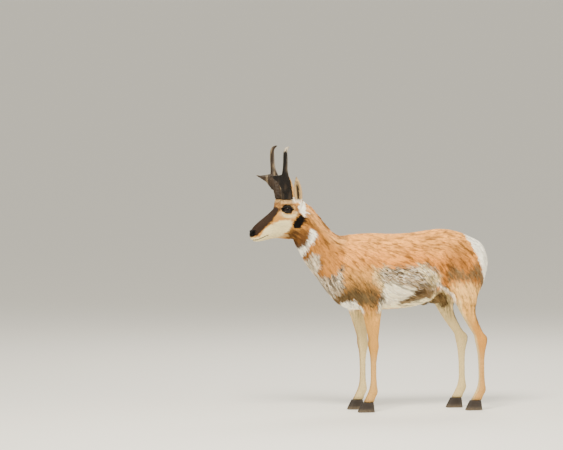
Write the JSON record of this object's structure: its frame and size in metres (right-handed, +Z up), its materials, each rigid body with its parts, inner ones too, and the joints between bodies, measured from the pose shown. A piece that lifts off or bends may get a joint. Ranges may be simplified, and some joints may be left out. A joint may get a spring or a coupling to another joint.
{
  "type": "pronghorn",
  "caption": "Life-size standing pronghorn buck with forked black horns, tan and white coat and a white rump, for display.",
  "frame": {"origin": "on the floor, under the middle of the bounding box", "axes": "+Z up, nose towards -X, the animal's left side towards -Y"},
  "size_m": [1.23, 0.2688, 1.3272],
  "materials": {
    "coat_fur": "short hollow guard hair lying flat",
    "face_fur": "very short fur",
    "leg_fur": "very short fur",
    "white_fur": "short fur",
    "horn_sheath": "ridged keratin, worn pale at the tips",
    "hoof_horn": "smooth keratin",
    "eye": "wet gloss"
  },
  "bodies": {
    "root": {"head": "face_fur", "neck": "coat_fur", "torso": "coat_fur", "tail": "white_fur", "foreleg_left": "leg_fur", "forecannon_left": "leg_fur", "claw_fore_left_outer": "hoof_horn", "claw_fore_left_inner": "hoof_horn", "foreleg_right": "leg_fur", "forecannon_right": "leg_fur", "claw_fore_right_outer": "hoof_horn", "claw_fore_right_inner": "hoof_horn", "hindleg_left": "leg_fur", "hindcannon_left": "leg_fur", "claw_hind_left_outer": "hoof_horn", "claw_hind_left_inner": "hoof_horn", "hindleg_right": "leg_fur", "hindcannon_right": "leg_fur", "claw_hind_right_outer": "hoof_horn", "claw_hind_right_inner": "hoof_horn", "horn_left": "horn_sheath", "eye_left": "eye", "ear_left": "coat_fur", "horn_right": "horn_sheath", "eye_right": "eye", "ear_right": "coat_fur"}
  },
  "joints": []
}
